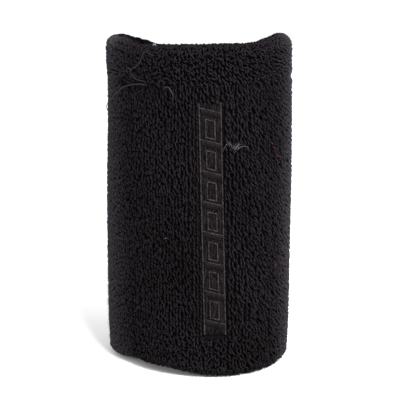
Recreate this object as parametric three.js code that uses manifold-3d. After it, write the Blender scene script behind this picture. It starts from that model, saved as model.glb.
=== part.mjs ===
// Terry sweat wristband, in millimetres, +Z up, standing on its lower rim with the origin under its centre.
//
// One knitted terry tube is turned in on itself at both rims, so the wall has two layers with a
// narrow space between them. Its two raw ends meet in a closing seam on the outer face, under the
// upper rim. Elastic yarn is laid into the ground of each layer, and an embroidered strip is
// stitched through the outer layer onto a backing.
//
// Every piece is drawn on a straight round tube first. bandPoint() then gives the oval section
// and the settled upper rim, so that all the pieces keep to each other.
import * as THREE from "three";
import Module from "manifold-3d";
import { mergeVertices } from "three/addons/utils/BufferGeometryUtils.js";

// The tube
const BAND_LENGTH = 105;
const OUTER_RADIUS = 28.5;
const LAYER_THICKNESS = 2.2; // one layer of terry: the ground with its loops
const LAYER_SPACE = 2.8; // between the two layers
const FOLD_FLAT = 1.2; // flat width of a fold where it rests
const TUBE_SIDES = 64;
const ARC_DIVISIONS = 2; // as getPoints() counts them: four straight pieces to an arc

// How it stands: an oval section, and an upper rim that dips between its two sides
const OVALITY = 0.06;
const OVAL_DIRECTION = THREE.MathUtils.degToRad(-25);
const FRONT_DIP = 0.8;
const BACK_DIP = 7.4;
const DIP_POWER = 2.1;

// The closing seam
const SEAM_BELOW_RIM = 12.9;
const SEAM_GAP = 1.4; // between the two raw ends
const SEAM_THREAD_HEIGHT = 0.7;
const SEAM_THREAD_DEPTH = 1.5;
const SEAM_SIT = 0.35; // thread below the outer face

// The elastic yarn
const YARN_THICKNESS = 0.5;
const YARN_PITCH = 8; // at most
const YARN_STEPS_PER_TURN = 36;
const YARN_END_MARGIN = 1.5; // from a fold's inner curve or the seam

// The embroidered strip
const STRIP_WIDTH = 7;
const STRIP_BELOW_SEAM = 4.7;
const STRIP_ABOVE_LOWER_RIM = 14.4;
const STRIP_ANGLE = THREE.MathUtils.degToRad(-80.4);
const STRIP_LEAN = Math.tan(THREE.MathUtils.degToRad(1.3));
const STITCH_THICKNESS = 0.3;
const STITCH_CLEARANCE = 0.25; // between one stitched layer and the next
const POCKET_FLOOR = 0.5; // ground that is left under the stitches
const CUT_PAST_FACE = 1; // how far the pocket's cutter stands out of the tube
const POCKET_MARGINS = { left: 2.6, right: 0.5, ends: 1 };
const BORDER_WIDTH = 0.5;
const BAR_COUNT = 8;
const BAR_HEIGHT = 1.7;
const BAR_SLOPE = Math.tan(THREE.MathUtils.degToRad(-14));
const BAR_SIDE_GAP = 0.35; // from a bar's end to the border line
const LOZENGE_WIDTH = 3.2;
const LOZENGE_END_GAP = 0.9; // from a lozenge to the bar above or below it
const OUTLINE_WIDTH = 0.55;
const BACKING_THICKNESS = 0.25;
const BACKING_MARGIN = 3;
const BOBBIN_THICKNESS = 0.2;
const COLUMN_WIDTH = 1.5; // widest flat facet of a piece that follows the tube's curve

// Sizes that follow
const WALL = 2 * LAYER_THICKNESS + LAYER_SPACE;
const BORE_RADIUS = OUTER_RADIUS - WALL;
const FOLD_RADIUS = (WALL - FOLD_FLAT) / 2;
const SPACE_OUTER_RADIUS = OUTER_RADIUS - LAYER_THICKNESS;
const SPACE_INNER_RADIUS = BORE_RADIUS + LAYER_THICKNESS;
const SPACE_END_RADIUS = LAYER_SPACE / 2;
const SPACE_BOTTOM = LAYER_THICKNESS + SPACE_END_RADIUS;
const SPACE_TOP = BAND_LENGTH - SPACE_BOTTOM;
const SEAM_HEIGHT = BAND_LENGTH - SEAM_BELOW_RIM;
const STRIP_TOP = SEAM_HEIGHT - STRIP_BELOW_SEAM;
const STRIP_LENGTH = STRIP_TOP - STRIP_ABOVE_LOWER_RIM;
const STRIP_CENTRE_HEIGHT = STRIP_TOP - STRIP_LENGTH / 2;
const POCKET_RADIUS = SPACE_OUTER_RADIUS + POCKET_FLOOR;
const FILL_RADIUS = POCKET_RADIUS + STITCH_CLEARANCE;
const TOP_STITCH_RADIUS = FILL_RADIUS + STITCH_THICKNESS + STITCH_CLEARANCE;

// The space between the layers holds, from outside in, the outer yarn, the backing, the bobbin
// stitches and the inner yarn, with the same clearance beside each.
const SPACE_CONTENTS = 2 * YARN_THICKNESS + BACKING_THICKNESS + BOBBIN_THICKNESS;
const SPACE_CLEARANCE = (LAYER_SPACE - SPACE_CONTENTS) / 5;
const OUTER_YARN_RADIUS = SPACE_OUTER_RADIUS - SPACE_CLEARANCE - YARN_THICKNESS / 2;
const INNER_YARN_RADIUS = SPACE_INNER_RADIUS + SPACE_CLEARANCE + YARN_THICKNESS / 2;
const BOBBIN_RADIUS = INNER_YARN_RADIUS + YARN_THICKNESS / 2 + SPACE_CLEARANCE;
const BACKING_RADIUS = BOBBIN_RADIUS + BOBBIN_THICKNESS + SPACE_CLEARANCE;

const wasm = await Module();
wasm.setup();

const terry = new THREE.MeshStandardMaterial({ color: 0x1c191d, roughness: 0.95, metalness: 0 });
const seamThread = new THREE.MeshStandardMaterial({ color: 0x17151a, roughness: 0.8, metalness: 0 });
const elastic = new THREE.MeshStandardMaterial({ color: 0x2a2a2c, roughness: 0.6, metalness: 0 });
const backingFelt = new THREE.MeshStandardMaterial({ color: 0x3a3a3c, roughness: 0.9, metalness: 0 });
const stitching = new THREE.MeshStandardMaterial({ color: 0x29242a, roughness: 0.55, metalness: 0 });
const outlineThread = new THREE.MeshStandardMaterial({ color: 0x4b4144, roughness: 0.5, metalness: 0 });

// The band's shape. A place on the straight tube is an angle round the axis, a radius and a height.
function bandPoint(angle, radius, height) {
  const oval = 1 + OVALITY * Math.cos(2 * (angle - OVAL_DIRECTION));
  const dip = Math.sin(angle) < 0 ? FRONT_DIP : BACK_DIP;
  const drop = dip * Math.abs(Math.sin(angle)) ** DIP_POWER;
  const reach = radius * oval;
  const settled = height * (1 - drop / BAND_LENGTH);
  return new THREE.Vector3(reach * Math.cos(angle), reach * Math.sin(angle), settled);
}

// Moves each vertex of a geometry to where place(vertex) puts it.
function moveVertices(geometry, place) {
  const positions = geometry.getAttribute("position");
  const vertex = new THREE.Vector3();
  for (let i = 0; i < positions.count; i += 1) {
    vertex.fromBufferAttribute(positions, i);
    const moved = place(vertex);
    positions.setXYZ(i, moved.x, moved.y, moved.z);
  }
  geometry.computeVertexNormals();
  return geometry;
}

// A straight tube's geometry, given the band's shape.
const shapeToBand = (geometry) =>
  moveVertices(geometry, (v) => bandPoint(Math.atan2(v.y, v.x), Math.hypot(v.x, v.y), v.z));

// A profile of radius and height, turned round the axis. Points that repeat where one curve
// meets the next are dropped.
function revolve(profile) {
  const points = profile.getPoints(ARC_DIVISIONS);
  const distinct = points.filter((p, i) => i === 0 || p.distanceTo(points[i - 1]) > 1e-3);
  const lathe = new THREE.LatheGeometry(distinct, TUBE_SIDES);
  return lathe.rotateX(Math.PI / 2);
}

// A flat piece laid on the straight tube beside the strip's centre: x runs round the tube,
// y up the strip, which leans, and z outwards from the given radius.
const layOnTube = (geometry, radius) =>
  moveVertices(geometry, (v) => {
    const angle = STRIP_ANGLE + (v.x - STRIP_LEAN * v.y) / radius;
    const reach = radius + v.z;
    return new THREE.Vector3(
      reach * Math.cos(angle),
      reach * Math.sin(angle),
      STRIP_CENTRE_HEIGHT + v.y,
    );
  });

// A rectangular patch on the straight tube, in columns narrow enough to follow its curve.
function patch(width, height, thickness, radius, centre = { x: 0, y: 0 }) {
  const columns = Math.ceil(width / COLUMN_WIDTH);
  const box = new THREE.BoxGeometry(width, height, thickness, columns, 1, 1);
  box.translate(centre.x, centre.y, thickness / 2);
  return layOnTube(box, radius);
}

// The closed solid of a geometry, for joining and cutting.
function toSolid(geometry) {
  const bare = new THREE.BufferGeometry();
  bare.setAttribute("position", geometry.toNonIndexed().getAttribute("position"));
  const merged = mergeVertices(bare, 1e-3);
  const vertProperties = merged.getAttribute("position").array;
  const triVerts = new Uint32Array(merged.index.array);
  return new wasm.Manifold(new wasm.Mesh({ numProp: 3, vertProperties, triVerts }));
}

function fromSolid(solid) {
  const mesh = solid.getMesh();
  const geometry = new THREE.BufferGeometry();
  geometry.setAttribute("position", new THREE.BufferAttribute(mesh.vertProperties, 3));
  geometry.setIndex(new THREE.BufferAttribute(mesh.triVerts, 1));
  return geometry;
}

function named(name, geometry, material) {
  const mesh = new THREE.Mesh(geometry, material);
  mesh.name = name;
  return mesh;
}

// The knitted tube: over the upper fold, down the bore, round the lower fold and up the outer
// face to the seam, then back along the space between the layers to the seam's other side.
function terryProfile() {
  const seamTop = SEAM_HEIGHT + SEAM_GAP / 2;
  const seamBottom = SEAM_HEIGHT - SEAM_GAP / 2;
  const foldOuter = OUTER_RADIUS - FOLD_RADIUS;
  const foldInner = BORE_RADIUS + FOLD_RADIUS;
  const foldTop = BAND_LENGTH - FOLD_RADIUS;
  const spaceMiddle = (SPACE_OUTER_RADIUS + SPACE_INNER_RADIUS) / 2;
  const half = Math.PI / 2;
  const profile = new THREE.Path();
  profile.moveTo(OUTER_RADIUS, foldTop);
  profile.absarc(foldOuter, foldTop, FOLD_RADIUS, 0, half, false);
  profile.absarc(foldInner, foldTop, FOLD_RADIUS, half, 2 * half, false);
  profile.absarc(foldInner, FOLD_RADIUS, FOLD_RADIUS, 2 * half, 3 * half, false);
  profile.absarc(foldOuter, FOLD_RADIUS, FOLD_RADIUS, 3 * half, 4 * half, false);
  profile.lineTo(OUTER_RADIUS, seamBottom);
  profile.lineTo(SPACE_OUTER_RADIUS, seamBottom);
  profile.absarc(spaceMiddle, SPACE_BOTTOM, SPACE_END_RADIUS, 0, -2 * half, true);
  profile.absarc(spaceMiddle, SPACE_TOP, SPACE_END_RADIUS, 2 * half, 0, true);
  profile.lineTo(SPACE_OUTER_RADIUS, seamTop);
  profile.lineTo(OUTER_RADIUS, seamTop);
  profile.lineTo(OUTER_RADIUS, foldTop);
  return profile;
}

// The strip sits in a pocket, where its stitches hold the loops down.
function stripPocket() {
  const width = POCKET_MARGINS.left + STRIP_WIDTH + POCKET_MARGINS.right;
  const height = STRIP_LENGTH + 2 * POCKET_MARGINS.ends;
  const depth = OUTER_RADIUS - POCKET_RADIUS + CUT_PAST_FACE;
  const centre = { x: (POCKET_MARGINS.right - POCKET_MARGINS.left) / 2, y: 0 };
  return patch(width, height, depth, POCKET_RADIUS, centre);
}

function terryTube() {
  const tube = toSolid(revolve(terryProfile()));
  const cut = tube.subtract(toSolid(stripPocket()));
  return named("terry_tube", shapeToBand(fromSolid(cut)), terry);
}

// The stitches that join the raw ends, as one ring in the gap between them.
function closingSeamThread() {
  const outer = OUTER_RADIUS - SEAM_SIT;
  const inner = outer - SEAM_THREAD_DEPTH;
  const bottom = SEAM_HEIGHT - SEAM_THREAD_HEIGHT / 2;
  const top = SEAM_HEIGHT + SEAM_THREAD_HEIGHT / 2;
  const profile = new THREE.Path();
  profile.moveTo(inner, bottom);
  profile.lineTo(outer, bottom);
  profile.lineTo(outer, top);
  profile.lineTo(inner, top);
  profile.lineTo(inner, bottom);
  return named("closing_seam_thread", shapeToBand(revolve(profile)), seamThread);
}

// Elastic yarn, laid round and round the tube in one continuous length.
class YarnCourse extends THREE.Curve {
  constructor(radius, bottom, top) {
    super();
    this.radius = radius;
    this.bottom = bottom;
    this.top = top;
    this.turns = Math.ceil((top - bottom) / YARN_PITCH);
  }

  getPoint(t, target = new THREE.Vector3()) {
    const angle = 2 * Math.PI * this.turns * t;
    const height = THREE.MathUtils.lerp(this.bottom, this.top, t);
    return target.copy(bandPoint(angle, this.radius, height));
  }
}

function elasticYarn(name, radius, bottom, top) {
  const course = new YarnCourse(radius, bottom, top);
  const section = new THREE.Shape().absarc(0, 0, YARN_THICKNESS / 2, 0, 2 * Math.PI);
  const steps = course.turns * YARN_STEPS_PER_TURN;
  const settings = { steps, curveSegments: 2, extrudePath: course };
  const geometry = new THREE.ExtrudeGeometry(section, settings);
  return named(name, geometry, elastic);
}

function elasticYarns() {
  const bottom = SPACE_BOTTOM + YARN_END_MARGIN;
  const top = SPACE_TOP - YARN_END_MARGIN;
  const underSeam = SEAM_HEIGHT - SEAM_GAP / 2 - YARN_END_MARGIN;
  const overSeam = SEAM_HEIGHT + SEAM_GAP / 2 + YARN_END_MARGIN;
  const yarns = new THREE.Group();
  yarns.add(elasticYarn("elastic_yarn_outer_layer", OUTER_YARN_RADIUS, bottom, underSeam));
  yarns.add(elasticYarn("elastic_yarn_above_seam", OUTER_YARN_RADIUS, overSeam, top));
  yarns.add(elasticYarn("elastic_yarn_inner_layer", INNER_YARN_RADIUS, bottom, top));
  return yarns;
}

// A slanted satin-stitched bar across the strip.
function embroideryBar(index, pitch) {
  const width = STRIP_WIDTH - 2 * (BORDER_WIDTH + BAR_SIDE_GAP);
  const columns = Math.ceil(width / COLUMN_WIDTH);
  const box = new THREE.BoxGeometry(width, BAR_HEIGHT, STITCH_THICKNESS, columns, 1, 1);
  const centre = (index - (BAR_COUNT - 1) / 2) * pitch;
  moveVertices(box, (v) => new THREE.Vector3(v.x, v.y + centre + BAR_SLOPE * v.x, v.z));
  box.translate(0, 0, STITCH_THICKNESS / 2);
  return shapeToBand(layOnTube(box, TOP_STITCH_RADIUS));
}

// The four corners of a lozenge whose ends slope as the bars do.
function lozengeCorners(halfWidth, halfHeight) {
  const rise = BAR_SLOPE * halfWidth;
  return [
    new THREE.Vector2(-halfWidth, -halfHeight - rise),
    new THREE.Vector2(halfWidth, -halfHeight + rise),
    new THREE.Vector2(halfWidth, halfHeight + rise),
    new THREE.Vector2(-halfWidth, halfHeight - rise),
  ];
}

// The stitched outline of a lozenge, between two bars.
function embroideryLozenge(index, pitch) {
  const halfWidth = LOZENGE_WIDTH / 2;
  const halfHeight = (pitch - BAR_HEIGHT) / 2 - LOZENGE_END_GAP;
  const outline = new THREE.Shape(lozengeCorners(halfWidth, halfHeight));
  const inside = lozengeCorners(halfWidth - OUTLINE_WIDTH, halfHeight - OUTLINE_WIDTH);
  outline.holes.push(new THREE.Path(inside.reverse()));
  const settings = { depth: STITCH_THICKNESS, bevelEnabled: false };
  const geometry = new THREE.ExtrudeGeometry(outline, settings);
  geometry.translate(0, (index - (BAR_COUNT - 2) / 2) * pitch, 0);
  return shapeToBand(layOnTube(geometry, TOP_STITCH_RADIUS));
}

function embroidery() {
  const pitch = (STRIP_LENGTH - BAR_HEIGHT) / (BAR_COUNT - 0.5);
  const strip = new THREE.Group();
  const fill = patch(STRIP_WIDTH, STRIP_LENGTH, STITCH_THICKNESS, FILL_RADIUS);
  strip.add(named("embroidery_ground_fill", shapeToBand(fill), stitching));
  for (const [side, direction] of [["left", -1], ["right", 1]]) {
    const centre = { x: (direction * (STRIP_WIDTH - BORDER_WIDTH)) / 2, y: 0 };
    const line = patch(BORDER_WIDTH, STRIP_LENGTH, STITCH_THICKNESS, TOP_STITCH_RADIUS, centre);
    strip.add(named(`embroidery_border_${side}`, shapeToBand(line), outlineThread));
  }
  for (let i = 0; i < BAR_COUNT; i += 1) {
    strip.add(named(`embroidery_bar_${i + 1}`, embroideryBar(i, pitch), stitching));
  }
  for (let i = 0; i < BAR_COUNT - 1; i += 1) {
    strip.add(named(`embroidery_lozenge_${i + 1}`, embroideryLozenge(i, pitch), outlineThread));
  }
  return strip;
}

// What holds the strip from behind: a backing, and the bobbin thread locked through it.
function embroideryBack() {
  const back = new THREE.Group();
  const width = STRIP_WIDTH + 2 * BACKING_MARGIN;
  const height = STRIP_LENGTH + 2 * BACKING_MARGIN;
  const sheet = patch(width, height, BACKING_THICKNESS, BACKING_RADIUS);
  back.add(named("embroidery_backing", shapeToBand(sheet), backingFelt));
  const stitches = patch(STRIP_WIDTH, STRIP_LENGTH, BOBBIN_THICKNESS, BOBBIN_RADIUS);
  back.add(named("embroidery_bobbin_stitches", shapeToBand(stitches), seamThread));
  return back;
}

const wristband = new THREE.Group();
wristband.add(terryTube(), closingSeamThread(), elasticYarns(), embroidery(), embroideryBack());

export default wristband;
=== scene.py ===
"""A long terry sweat wristband, standing on its lower rim.

One tube of black cotton terry is turned in on itself at both rims and closed by a seam on its
outer face. Elastic yarn is laid into both layers, and a strip is embroidered down the front.
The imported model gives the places. Shapes are worked out in millimetres and put down in metres.
"""

import bpy
import numpy as np
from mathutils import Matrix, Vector


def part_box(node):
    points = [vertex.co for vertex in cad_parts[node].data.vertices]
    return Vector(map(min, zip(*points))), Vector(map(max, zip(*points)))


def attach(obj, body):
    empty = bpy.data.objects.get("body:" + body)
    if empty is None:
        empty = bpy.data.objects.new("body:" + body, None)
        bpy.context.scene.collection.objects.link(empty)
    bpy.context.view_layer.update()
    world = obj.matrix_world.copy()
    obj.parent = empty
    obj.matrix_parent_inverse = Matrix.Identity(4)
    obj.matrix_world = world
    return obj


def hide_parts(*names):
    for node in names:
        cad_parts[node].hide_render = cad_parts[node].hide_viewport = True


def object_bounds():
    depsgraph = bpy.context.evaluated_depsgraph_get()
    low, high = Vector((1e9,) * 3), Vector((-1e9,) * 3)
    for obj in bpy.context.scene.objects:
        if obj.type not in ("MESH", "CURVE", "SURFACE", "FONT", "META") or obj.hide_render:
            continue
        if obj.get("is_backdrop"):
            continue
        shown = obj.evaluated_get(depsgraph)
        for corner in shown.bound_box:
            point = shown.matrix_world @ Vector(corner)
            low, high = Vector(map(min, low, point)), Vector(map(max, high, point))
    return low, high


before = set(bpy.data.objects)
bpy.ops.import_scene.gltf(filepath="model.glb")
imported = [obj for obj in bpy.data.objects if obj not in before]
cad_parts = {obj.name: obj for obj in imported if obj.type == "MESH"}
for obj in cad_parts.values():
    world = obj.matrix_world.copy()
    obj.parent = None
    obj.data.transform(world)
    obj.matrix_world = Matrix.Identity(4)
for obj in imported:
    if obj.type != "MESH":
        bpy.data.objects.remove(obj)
cad_low, cad_high = (np.array(corner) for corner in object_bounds())
chance = np.random.default_rng(20)

# ---------------------------------------------------------------------------------------------
# The view. A long lens stands in front of the band and looks a little down on it, so the front
# of the upper rim hides the back of it. It stands to the right by SIDESTEP, square to the band.
VIEW_DISTANCE = 0.4363
VIEW_ELEVATION = np.radians(12.6)
AIM_HEIGHT = 0.467 * cad_high[2]
SIDESTEP = 0.0032
LENS_MM = 116.1

aim = Vector((SIDESTEP, 0.0, AIM_HEIGHT))
back = Vector((0.0, -np.cos(VIEW_ELEVATION), np.sin(VIEW_ELEVATION)))
lens = bpy.data.cameras.new("view")
lens.lens = LENS_MM
lens.sensor_width = 36.0
camera = bpy.data.objects.new("view", lens)
camera.location = aim + VIEW_DISTANCE * back
camera.rotation_euler = back.to_track_quat("Z", "Y").to_euler()
bpy.context.scene.collection.objects.link(camera)
bpy.context.scene.camera = camera

# ---------------------------------------------------------------------------------------------
# The ground of the terry: a plain knit of black cotton and polyester, 0.6 mm thick, which the
# loops stand on. The tube is turned in at both rims, so it has an outer and an inner layer, and
# its two raw ends turn inwards and meet at the seam.
OVALITY = 0.06
OVAL_DIRECTION = np.radians(-25)
FRONT_DIP_MM = 0.8
BACK_DIP_MM = 7.4
DIP_POWER = 2.1
WALL_MM = 7.2
GROUND_MM = 0.6
PILE_MM = 1.7
TURN_IN_MM = 0.6
SEAM_BEND_MM = 0.4
GROUND_COLUMNS = 160

band_length = 1000 * cad_high[2]


def oval(angle):
    """The section's share of its mean radius: one plus a cosine of twice the angle, so it is
    longest along OVAL_DIRECTION and shortest across it."""
    return 1 + OVALITY * np.cos(2 * (angle - OVAL_DIRECTION))


turn = np.linspace(0, 2 * np.pi, 721)
outer_radius = 1000 * cad_high[0] / np.max(oval(turn) * np.cos(turn))


# Soft terry never stands quite true. Each line is a swell (+) or a hollow (-): the angle in
# degrees where it is greatest, how far round it spreads, and its size in millimetres.
UPPER_RIM_SWELLS = (
    (-157, 10, 0.8), (-138, 14, -0.6), (-82, 36, 0.8), (-36, 9, 0.9),
    (-18, 10, 1.7), (0, 10, 0.9), (52, 20, -1.3), (134, 16, 1.1), (157, 10, 0.8), (180, 9, 0.5),
)
LOWER_RIM_SWELLS = ((-116, 26, 2.0), (-151, 16, 1.4))
# The same for the wall's radius, with the height where it is greatest and how far up it spreads.
WALL_SWELLS = (
    (180, 40, 50, 200, 0.55), (180, 40, 88, 26, -0.9),
    (0, 40, 64, 24, 0.3), (-148, 26, 0, 8.5, -2.4), (-22, 24, 0, 12, -0.6),
)


def swell(angle, middle, spread):
    """A bell curve of the angle from `middle`, both in degrees, equal to 1 there."""
    away = (np.degrees(angle) - middle + 180) % 360 - 180
    return np.exp(-((away / spread) ** 2))


def on_band(angle, radius, height):
    """The place on the standing band of a point on a straight round tube. The radius is drawn
    out by the oval, and the height is let down in proportion, by a dip at the rim that grows
    with a power of the sine from the two sides to the front and the back. The swells are added,
    and those of a rim grow with the cube of the distance from the other rim."""
    share = height / band_length
    dip = np.where(np.sin(angle) < 0, FRONT_DIP_MM, BACK_DIP_MM)
    settled = height * (1 - dip * np.abs(np.sin(angle)) ** DIP_POWER / band_length)
    for middle, spread, size in UPPER_RIM_SWELLS:
        settled = settled + size * swell(angle, middle, spread) * share**3
    for middle, spread, size in LOWER_RIM_SWELLS:
        settled = settled + size * swell(angle, middle, spread) * (1 - share) ** 3
    for middle, spread, level, extent, size in WALL_SWELLS:
        up = np.exp(-(((height - level) / extent) ** 2))
        radius = radius + size * swell(angle, middle, spread) * up
    reach = radius * oval(angle)
    return 0.001 * np.stack(
        np.broadcast_arrays(reach * np.cos(angle), reach * np.sin(angle), settled), axis=-1
    )


# The seam's ring stands highest at the two sides, where the rim doesn't dip.
seam_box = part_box("closing_seam_thread")
SEAM_RING_MM = 0.7
seam_height = 1000 * seam_box[1].z - SEAM_RING_MM / 2

outer_wall = outer_radius - PILE_MM - GROUND_MM / 2
inner_wall = outer_radius - WALL_MM + PILE_MM + GROUND_MM / 2
fold = (outer_wall - inner_wall) / 2
fold_middle = (outer_wall + inner_wall) / 2
fold_heights = (fold + PILE_MM + GROUND_MM / 2, band_length - fold - PILE_MM - GROUND_MM / 2)


def straight(start, end, spacing=1.2):
    """Points from start to end, evenly spaced, the last left out."""
    count = max(1, round(np.hypot(*np.subtract(end, start)) / spacing))
    return start + np.subtract(end, start) * np.arange(count)[:, None] / count


def bend(middle, radius, first, last, step=15):
    """Points on an arc round middle, from one angle to another in degrees, the last left out."""
    at = np.radians(np.arange(first, last, step))[:, None]
    return np.array(middle) + radius * np.hstack([np.cos(at), np.sin(at)])


def sheet_line():
    """The sheet's middle line as (radius, height): from one raw end out to the seam's bend, up
    the outer wall, round the upper fold, down the bore, round the lower fold, and up the outer
    wall to the other bend and raw end. Also returns how far along it each part begins."""
    bend_reach = SEAM_BEND_MM + GROUND_MM / 2 + 0.08
    over, under = seam_height + bend_reach, seam_height - bend_reach
    raw = outer_wall - SEAM_BEND_MM - TURN_IN_MM
    turned = outer_wall - SEAM_BEND_MM
    lower, upper = fold_heights
    parts = [
        straight((raw, over - SEAM_BEND_MM), (turned, over - SEAM_BEND_MM), 0.3),
        bend((turned, over), SEAM_BEND_MM, -90, 0, 30),
        straight((outer_wall, over), (outer_wall, upper)),
        bend((fold_middle, upper), fold, 0, 180),
        straight((inner_wall, upper), (inner_wall, lower)),
        bend((fold_middle, lower), fold, 180, 360),
        straight((outer_wall, lower), (outer_wall, under)),
        bend((turned, under), SEAM_BEND_MM, 0, 90, 30),
        straight((turned, under + SEAM_BEND_MM), (raw, under + SEAM_BEND_MM), 0.3),
        np.array([[raw, under + SEAM_BEND_MM]]),
    ]
    line = np.concatenate(parts)
    along = np.concatenate([[0], np.cumsum(np.hypot(*np.diff(line, axis=0).T))])
    starts = np.cumsum([0] + [len(part) for part in parts[:-1]])
    return line, along, along[starts]


line, line_along, part_starts = sheet_line()
tangent = np.gradient(line, axis=0)
tangent /= np.linalg.norm(tangent, axis=1, keepdims=True)
line_normal = np.stack([tangent[:, 1], -tangent[:, 0]], axis=1)


def on_sheet(angle, along, out):
    """The place of a point given by its angle round the band, its distance along the sheet's
    middle line and its height over that line, on the pile side."""
    radius, height = (np.interp(along, line_along, line[:, i]) for i in (0, 1))
    normal_r, normal_h = (np.interp(along, line_along, line_normal[:, i]) for i in (0, 1))
    return on_band(angle, radius + out * normal_r, height + out * normal_h)


def new_piece(name, vertices, polygons, material, uv=None, attributes=None):
    """A smooth-shaded piece that rides on the band. polygons is a list of index arrays, one row
    to a face; uv has a row for each corner in that order, and attributes a value for each
    vertex."""
    mesh = bpy.data.meshes.new(name)
    corners = np.concatenate([faces.ravel() for faces in polygons])
    counts = np.concatenate([np.full(len(faces), faces.shape[1]) for faces in polygons])
    mesh.vertices.add(len(vertices))
    mesh.loops.add(len(corners))
    mesh.polygons.add(len(counts))
    mesh.vertices.foreach_set("co", vertices.astype(np.float32).ravel())
    mesh.loops.foreach_set("vertex_index", corners.astype(np.int32))
    mesh.polygons.foreach_set("loop_start", (np.cumsum(counts) - counts).astype(np.int32))
    mesh.update(calc_edges=True)
    mesh.polygons.foreach_set("use_smooth", np.ones(len(counts), bool))
    if uv is not None:
        layer = mesh.uv_layers.new(name="yarn")
        layer.uv.foreach_set("vector", uv.astype(np.float32).ravel())
    for key, values in (attributes or {}).items():
        attribute = mesh.attributes.new(key, "FLOAT", "POINT")
        attribute.data.foreach_set("value", values.astype(np.float32))
    mesh.materials.append(material)
    piece = bpy.data.objects.new(name, mesh)
    bpy.context.scene.collection.objects.link(piece)
    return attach(piece, "root")


def srgb(colour):
    """A linear colour with alpha from an sRGB hex value: each share raised by the sRGB curve."""
    share = np.array([int(colour[i : i + 2], 16) for i in (1, 3, 5)]) / 255
    linear = np.where(share <= 0.04045, share / 12.92, ((share + 0.055) / 1.055) ** 2.4)
    return (*linear.tolist(), 1.0)


def add_node(tree, kind, inputs=None, **settings):
    """Adds a node, applies its settings, and sets or links each of its inputs."""
    node = tree.nodes.new(kind)
    for key, value in settings.items():
        setattr(node, key, value)
    for key, value in (inputs or {}).items():
        if isinstance(value, bpy.types.NodeSocket):
            tree.links.new(value, node.inputs[key])
        else:
            node.inputs[key].default_value = value
    return node


def new_material(name):
    """A material with its Principled shader, and its node tree."""
    material = bpy.data.materials.new(name)
    material.use_nodes = True
    return material, material.node_tree, material.node_tree.nodes["Principled BSDF"]


def bands_apart(distance, turns=20):
    """The wave texture's scale that sets its bands a distance apart in millimetres. The texture
    makes `turns` radians of wave to a unit: 20 along an axis, 10 root 3 along their diagonal."""
    return 2 * np.pi / (turns * 0.001 * distance)


# Black plain knit, matt and darker than the loops. Its purl side shows between them in fine rows,
# one to a course.
COURSE_MM = 1.25
LINT_MM = 1.1
ROW_RELIEF_MM = 0.2
knit, tree, shader = new_material("black_plain_knit")
place = add_node(tree, "ShaderNodeTexCoord")
rib = add_node(
    tree,
    "ShaderNodeTexWave",
    {"Vector": place.outputs["Object"], "Scale": bands_apart(COURSE_MM), "Distortion": 2.0,
     "Detail": 2.0},
    bands_direction="Z",
)
lint = add_node(
    tree, "ShaderNodeTexNoise", {"Vector": place.outputs["Object"], "Scale": 1000 / LINT_MM}
)
shade = add_node(
    tree,
    "ShaderNodeMix",
    {0: lint.outputs[0], 6: srgb("#060506"), 7: srgb("#0f0d0f")},
    data_type="RGBA",
)
relief = add_node(
    tree,
    "ShaderNodeBump",
    {"Height": rib.outputs["Fac"], "Distance": 0.001 * ROW_RELIEF_MM, "Strength": 0.8},
)
tree.links.new(shade.outputs[2], shader.inputs["Base Color"])
tree.links.new(relief.outputs[0], shader.inputs["Normal"])
shader.inputs["Roughness"].default_value = 0.95
shader.inputs["Specular IOR Level"].default_value = 0.03


def ground_piece():
    """The sheet as a closed ring: the pile side along the whole line, then the plain side back
    along it, turned round the band in columns."""
    half = GROUND_MM / 2
    along = np.concatenate([line_along, line_along[::-1]])
    out = np.concatenate([np.full(len(line), half), np.full(len(line), -half)])
    angles = np.linspace(0, 2 * np.pi, GROUND_COLUMNS, endpoint=False)
    vertices = on_sheet(angles[:, None], along[None, :], out[None, :])
    columns, rows = np.meshgrid(np.arange(GROUND_COLUMNS), np.arange(len(along)), indexing="ij")
    beside, above = (columns + 1) % GROUND_COLUMNS, (rows + 1) % len(along)
    quads = np.stack(
        [columns * len(along) + rows, beside * len(along) + rows,
         beside * len(along) + above, columns * len(along) + above],
        axis=-1,
    ).reshape(-1, 4)
    return new_piece("terry_ground", vertices.reshape(-1, 3), [quads], knit)


ground = ground_piece()
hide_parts("terry_tube")

# ---------------------------------------------------------------------------------------------
# The pile: loops of soft two-ply cotton, one to each stitch of the ground. They stand 1.2 to
# 1.9 mm high and lie over a little along the wales, so the face shows broken upright strands.
# Over the folds and in the bore they lie every way, and beside the strip they are held down.
LOOP_COLUMNS = 156
LOOP_STEPS = 6
LOOP_SIDES = 4
SUNK_MM = 0.15
S_BEND_MM = 0.12


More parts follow.
